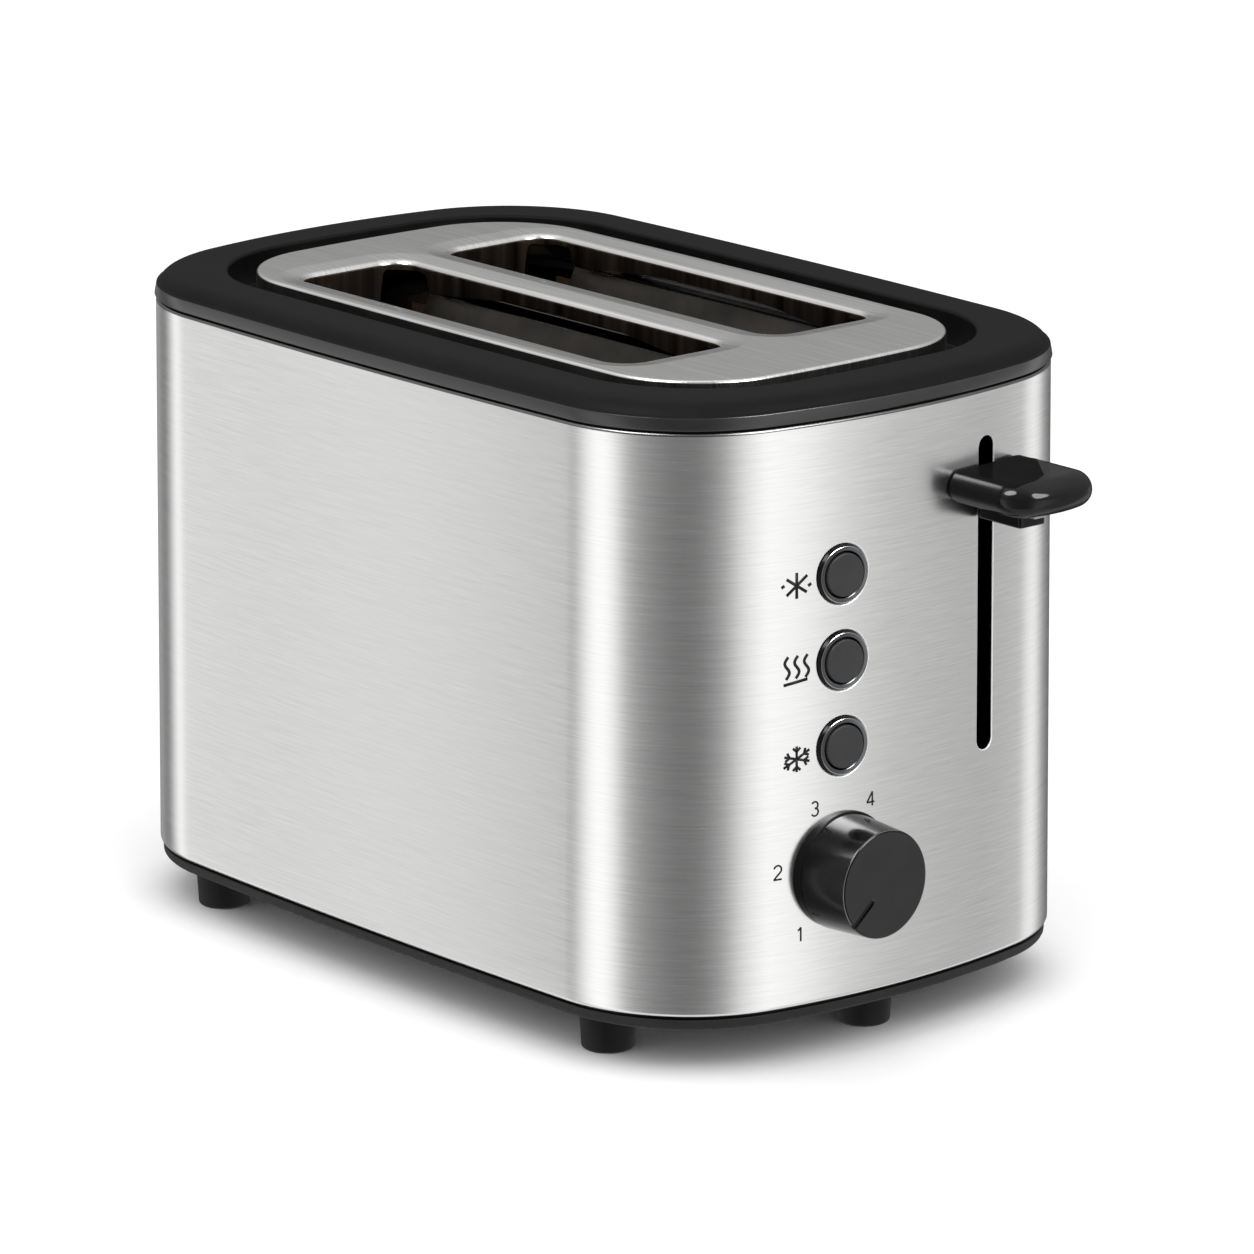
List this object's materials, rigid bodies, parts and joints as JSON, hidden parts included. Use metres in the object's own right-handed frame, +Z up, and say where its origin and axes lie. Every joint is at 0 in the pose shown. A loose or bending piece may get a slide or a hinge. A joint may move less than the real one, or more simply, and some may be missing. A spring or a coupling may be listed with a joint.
{
  "type": "pop-up toaster",
  "caption": "Two-slot pop-up toaster in brushed steel with a black rim, side lever, push buttons and browning dial.",
  "frame": {"origin": "on the worktop under the middle of the whole toaster with its lever handle and crumb tray pull", "axes": "+X along the body towards the control end, +Z up, -Y towards the long side seen in the picture"},
  "size_m": [0.296, 0.168, 0.1861],
  "materials": {
    "steel_wrap": "fine level brushing",
    "steel_plate": "satin, rolled edges",
    "black_moulding": "fine texture",
    "gloss_black": "satin to gloss",
    "button_grey": "matt",
    "smoked_ring": "smoked gloss",
    "foot_rubber": "matt",
    "sheet_steel": "galvanised sheet",
    "guide_steel": "heat tinted",
    "mica": "mica board",
    "heater_alloy": "resistance wire",
    "rod_steel": "ground",
    "spring_steel": "spring wire",
    "coil_copper": "enamelled winding",
    "board_green": "circuit board",
    "white_plastic": "moulded",
    "screw_steel": "plated"
  },
  "bodies": {
    "housing": {"outer_shell": "steel_wrap", "top_ring": "black_moulding", "top_plate": "steel_plate", "base_pan": "black_moulding", "foot_front_left": "foot_rubber", "foot_front_right": "foot_rubber", "foot_rear_left": "foot_rubber", "foot_rear_right": "foot_rubber", "foot_control_end": "foot_rubber", "foot_screws": "screw_steel", "base_screws": "screw_steel", "front_plate": "sheet_steel", "rear_plate": "sheet_steel", "reflector_left": "sheet_steel", "reflector_right": "sheet_steel", "guide_rod": "rod_steel", "rod_bracket_top": "sheet_steel", "rod_bracket_bottom": "sheet_steel", "carriage_spring": "spring_steel", "magnet_core": "sheet_steel", "magnet_coil": "coil_copper", "magnet_bracket": "sheet_steel", "control_board": "board_green", "board_posts": "white_plastic", "switches": "gloss_black", "timer_body": "white_plastic", "cord_gland": "black_moulding", "terminal_block": "white_plastic", "heater_board_left": "mica", "heater_board_centre": "mica", "heater_board_right": "mica", "heater_wire_left": "heater_alloy", "heater_wire_centre": "heater_alloy", "heater_wire_right": "heater_alloy", "light_ring_cancel": "smoked_ring", "light_ring_reheat": "smoked_ring", "light_ring_defrost": "smoked_ring"},
    "lever": {"lever_handle": "gloss_black", "lever_arm": "sheet_steel", "carriage_plate": "sheet_steel", "carriage_bush": "white_plastic", "carrier_left": "guide_steel", "carrier_right": "guide_steel", "keeper_plate": "sheet_steel"},
    "knob": {"control_knob": "gloss_black", "timer_shaft": "rod_steel"},
    "tray": {"crumb_tray": "sheet_steel", "crumb_tray_pull": "black_moulding"},
    "button_cancel": {"button_cancel": "button_grey"},
    "button_reheat": {"button_reheat": "button_grey"},
    "button_defrost": {"button_defrost": "button_grey"},
    "guide_left_outer": {"bread_guide_left_outer": "guide_steel"},
    "guide_left_inner": {"bread_guide_left_inner": "guide_steel"},
    "guide_right_inner": {"bread_guide_right_inner": "guide_steel"},
    "guide_right_outer": {"bread_guide_right_outer": "guide_steel"}
  },
  "joints": [
    {"name": "lever_slide", "type": "slide", "parent": "housing", "child": "lever", "axis": [0, 0, -1], "range_m": [-0.008, 0.064], "stiffness_N_per_m": 60, "springref_m": -0.02, "deforming": ["carriage_spring"]},
    {"name": "knob_turn", "type": "hinge", "parent": "housing", "child": "knob", "pos_m": [0.1275, -0.0235, 0.052], "axis": [-1, 0, 0], "range_deg": [0, 280]},
    {"name": "crumb_tray_slide", "type": "slide", "parent": "housing", "child": "tray", "axis": [-1, 0, 0], "range_m": [0, 0.19]},
    {"name": "button_cancel_press", "type": "slide", "parent": "housing", "child": "button_cancel", "axis": [-0.9949, 0.1004, 0], "range_m": [0, 0.0015], "stiffness_N_per_m": 600, "springref_m": -0.001},
    {"name": "button_reheat_press", "type": "slide", "parent": "housing", "child": "button_reheat", "axis": [-0.9949, 0.1004, 0], "range_m": [0, 0.0015], "stiffness_N_per_m": 600, "springref_m": -0.001},
    {"name": "button_defrost_press", "type": "slide", "parent": "housing", "child": "button_defrost", "axis": [-0.9949, 0.1004, 0], "range_m": [0, 0.0015], "stiffness_N_per_m": 600, "springref_m": -0.001},
    {"name": "guide_left_outer_tilt", "type": "hinge", "parent": "housing", "child": "guide_left_outer", "pos_m": [-0.0125, -0.048, 0.033], "axis": [-1, 0, 0], "range_deg": [-0.6, 4.1]},
    {"name": "guide_left_inner_tilt", "type": "hinge", "parent": "housing", "child": "guide_left_inner", "pos_m": [-0.0125, -0.007, 0.033], "axis": [1, 0, 0], "range_deg": [-0.6, 4.1]},
    {"name": "guide_right_inner_tilt", "type": "hinge", "parent": "housing", "child": "guide_right_inner", "pos_m": [-0.0125, 0.007, 0.033], "axis": [-1, 0, 0], "range_deg": [-0.6, 4.1]},
    {"name": "guide_right_outer_tilt", "type": "hinge", "parent": "housing", "child": "guide_right_outer", "pos_m": [-0.0125, 0.048, 0.033], "axis": [1, 0, 0], "range_deg": [-0.6, 4.1]}
  ],
  "couplings": [
    {"joint": "guide_left_outer_tilt", "follows": "lever_slide", "rad_per_m": 1.09},
    {"joint": "guide_left_inner_tilt", "follows": "lever_slide", "rad_per_m": 1.09},
    {"joint": "guide_right_inner_tilt", "follows": "lever_slide", "rad_per_m": 1.09},
    {"joint": "guide_right_outer_tilt", "follows": "lever_slide", "rad_per_m": 1.09}
  ]
}
